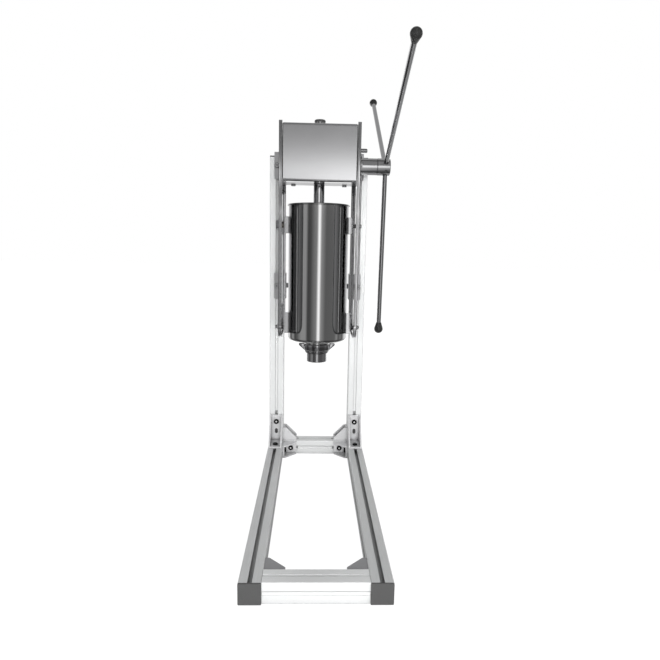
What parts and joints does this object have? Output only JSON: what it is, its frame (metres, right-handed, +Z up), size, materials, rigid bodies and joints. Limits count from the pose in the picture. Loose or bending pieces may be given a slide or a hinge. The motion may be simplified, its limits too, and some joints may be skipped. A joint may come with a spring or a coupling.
{
  "type": "churro maker",
  "caption": "Hand-cranked churro press: a rack piston in a steel cylinder with a nozzle, on an upright stand of slotted aluminium profile.",
  "frame": {"origin": "on the floor, under the middle of the bounding box", "axes": "+Z up, +X towards the side that carries the lever hub, -Y towards the user in front of the press"},
  "size_m": [0.315, 0.9798, 1.0626],
  "materials": {
    "black_cap": "moulded black",
    "black_knob": "black",
    "bronze": "plain bearing bronze",
    "cast_bracket": "die cast, blasted",
    "column_steel": "polished stainless",
    "cover_steel": "satin stainless",
    "cylinder_steel": "polished stainless",
    "fastener": "plain",
    "gear_steel": "hobbed",
    "lug_steel": "ground",
    "nozzle_steel": "polished stainless",
    "nylon": "white nylon",
    "piston_steel": "turned",
    "plate_steel": "rolled",
    "profile": "clear anodised, satin",
    "rod_cap": "black insert",
    "seal": "food silicone",
    "turned_steel": "turned and polished"
  },
  "bodies": {
    "frame": {"bearing_bolts": "fastener", "bracket_screws": "fastener", "bracket_slot_nuts": "fastener", "column_left": "column_steel", "column_right": "column_steel", "cylinder": "cylinder_steel", "cylinder_base": "cylinder_steel", "cylinder_foot_lugs": "lug_steel", "cylinder_pivot_bolts": "fastener", "cylinder_upper_bolt": "fastener", "cylinder_upper_lugs": "lug_steel", "front_corner_brackets": "cast_bracket", "front_crossbar": "profile", "guide_stud": "fastener", "head_angles": "plate_steel", "head_back_plate": "plate_steel", "head_bolts": "fastener", "head_bottom_plate": "plate_steel", "head_cover": "cover_steel", "latch_bush": "bronze", "mounting_angles_left": "plate_steel", "mounting_angles_right": "plate_steel", "mounting_screws": "fastener", "mounting_slot_nuts": "fastener", "post_foot_brackets": "cast_bracket", "post_left": "profile", "post_right": "profile", "post_side_brackets": "cast_bracket", "post_top_caps": "black_cap", "rail_end_caps": "black_cap", "rail_left": "profile", "rail_right": "profile", "rear_corner_brackets": "cast_bracket", "rear_crossbar": "profile", "rod_bush": "nylon", "rod_grommet": "nylon", "rod_guide_shoe": "nylon", "shaft_bearing": "turned_steel", "shaft_bush_left": "bronze"},
    "lever": {"drive_shaft": "turned_steel", "drive_pinion": "gear_steel", "lever_hub": "turned_steel", "hub_grub_screw": "fastener", "lever_arm_far": "turned_steel", "lever_arm_lower": "turned_steel", "lever_arm_near": "turned_steel", "lever_knob_far": "black_knob", "lever_knob_lower": "black_knob", "lever_knob_near": "black_knob"},
    "rod": {"rack_rod": "turned_steel", "piston": "piston_steel", "piston_seal": "seal", "piston_nut": "fastener", "rod_top_cap": "rod_cap"},
    "latch": {"latch_knob": "turned_steel"},
    "nozzle": {"nozzle_ring": "nozzle_steel", "star_die": "nozzle_steel"},
    "winged_nut": {"nozzle_nut": "nozzle_steel"}
  },
  "joints": [
    {"name": "lever_turn", "type": "hinge", "parent": "frame", "child": "lever", "pos_m": [0.14572, 0.12454, 0.806], "axis": [-1, 0, 0], "range_deg": [0, 865.8]},
    {"name": "rod_slide", "type": "slide", "parent": "frame", "child": "rod", "axis": [0, 0, 1], "range_m": [0, 0.34]},
    {"name": "latch_pull", "type": "slide", "parent": "frame", "child": "latch", "axis": [-1, 0, 0], "range_m": [0, 0.0095], "stiffness_N_per_m": 400, "springref_m": -0.005},
    {"name": "nozzle_drop", "type": "slide", "parent": "frame", "child": "nozzle", "axis": [0, 0, -1], "range_m": [0, 0.016]},
    {"name": "nut_turn", "type": "hinge", "parent": "nozzle", "child": "winged_nut", "pos_m": [-0.02502, 0.09234, 0.34], "axis": [0, 0, -1], "range_deg": [0, 1439.9]}
  ],
  "couplings": [
    {"joint": "rod_slide", "follows": "lever_turn", "m_per_rad": 0.0225},
    {"joint": "nozzle_drop", "follows": "nut_turn", "m_per_rad": 0.00063662}
  ]
}
